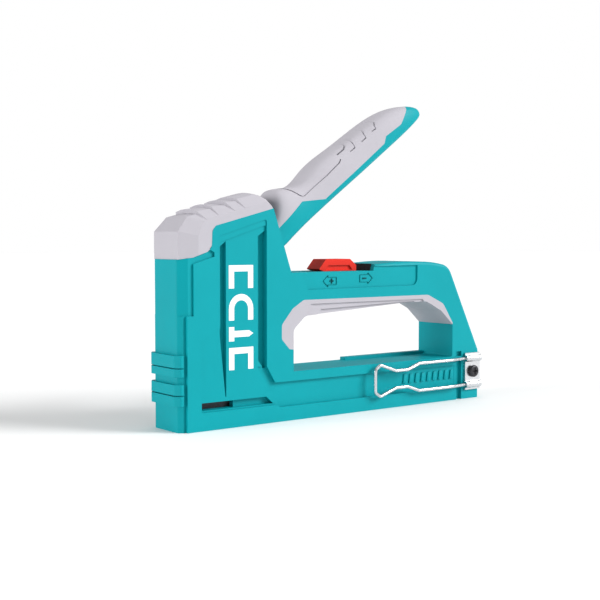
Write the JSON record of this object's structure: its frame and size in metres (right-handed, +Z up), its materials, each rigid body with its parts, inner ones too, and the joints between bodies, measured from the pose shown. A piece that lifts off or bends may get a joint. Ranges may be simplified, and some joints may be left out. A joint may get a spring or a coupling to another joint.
{
  "type": "staple gun",
  "caption": "Hand-squeezed staple gun with a sprung lever handle, finger window, force slider, rear-loading magazine and a wire belt hook.",
  "frame": {"origin": "centre of the steel nose plate's foot, on the sole and on the mid-plane where the two shells meet", "axes": "+X from the nose to the tail along the sole, +Z up from the sole, +Y to the side away from the belt hook"},
  "size_m": [0.2014, 0.0307, 0.1614],
  "materials": {
    "body_plastic": "fine moulded texture",
    "soft_grip": "matte overmould",
    "slider_plastic": "satin",
    "bright_steel": "nickel plated",
    "plain_steel": "ground",
    "spring_steel": "oiled",
    "staple_wire": "galvanised",
    "black_screw": "black oxide",
    "bumper_rubber": "matte",
    "dark_plastic": "fine texture"
  },
  "bodies": {
    "frame": {"left_shell": "body_plastic", "right_shell": "body_plastic", "nose_cap": "soft_grip", "window_liner": "soft_grip", "nose_plate": "plain_steel", "blade_guide": "plain_steel", "hammer_bumper": "bumper_rubber", "handle_pin": "plain_steel", "pivot_spacer": "dark_plastic", "return_spring": "spring_steel", "power_leaf": "spring_steel", "helper_leaf": "spring_steel", "spring_anchor_pin": "plain_steel", "magazine_channel": "plain_steel", "staple_rail": "plain_steel", "staple_strip": "staple_wire", "body_screws": "black_screw", "belt_hook_ends": "bright_steel", "hook_plate": "bright_steel", "hook_screw": "black_screw"},
    "handle": {"handle_lever": "plain_steel", "handle_body": "body_plastic", "handle_grip": "soft_grip", "handle_rivets": "plain_steel"},
    "hammer": {"hammer": "plain_steel", "driver_blade": "plain_steel", "blade_rivets": "plain_steel"},
    "setting": {"force_slider": "slider_plastic", "fulcrum_roller": "plain_steel"},
    "magazine": {"magazine_plug": "dark_plastic", "pusher_rod": "plain_steel", "rod_clip": "spring_steel", "pusher_spring": "spring_steel"},
    "pusher": {"pusher": "plain_steel"},
    "release": {"release_tab": "dark_plastic"},
    "belt_hook": {"belt_hook_wire": "bright_steel"}
  },
  "joints": [
    {"name": "handle_hinge", "type": "hinge", "parent": "frame", "child": "handle", "pos_m": [0.0472, 0, 0.0943], "axis": [0, 1, 0], "range_deg": [0, 26], "stiffness_Nm_per_rad": 0.5, "springref_deg": -17.19, "deforming": ["return_spring"]},
    {"name": "hammer_slide", "type": "slide", "parent": "frame", "child": "hammer", "axis": [0, 0, 1], "range_m": [0, 0.019], "deforming": ["power_leaf", "helper_leaf"]},
    {"name": "force_setting", "type": "slide", "parent": "frame", "child": "setting", "axis": [1, 0, 0], "range_m": [-0.012, 0.005]},
    {"name": "magazine_pull", "type": "slide", "parent": "frame", "child": "magazine", "axis": [1, 0, 0], "range_m": [0, 0.12]},
    {"name": "pusher_slide", "type": "slide", "parent": "magazine", "child": "pusher", "axis": [1, 0, 0], "range_m": [0, 0.06], "stiffness_N_per_m": 40, "springref_m": -0.06, "deforming": ["pusher_spring"]},
    {"name": "release_press", "type": "hinge", "parent": "magazine", "child": "release", "pos_m": [0.1842, 0, 0.0172], "axis": [0, 1, 0], "range_deg": [0, 6], "stiffness_Nm_per_rad": 0.02, "springref_deg": -5.73},
    {"name": "hook_flex", "type": "hinge", "parent": "frame", "child": "belt_hook", "pos_m": [0.1796, -0.0144, 0.0155], "axis": [0, 0, 1], "range_deg": [0, 5], "stiffness_Nm_per_rad": 0.4, "springref_deg": -1.15}
  ],
  "couplings": [
    {"joint": "hammer_slide", "follows": "handle_hinge", "m_per_rad": 0.0415}
  ]
}
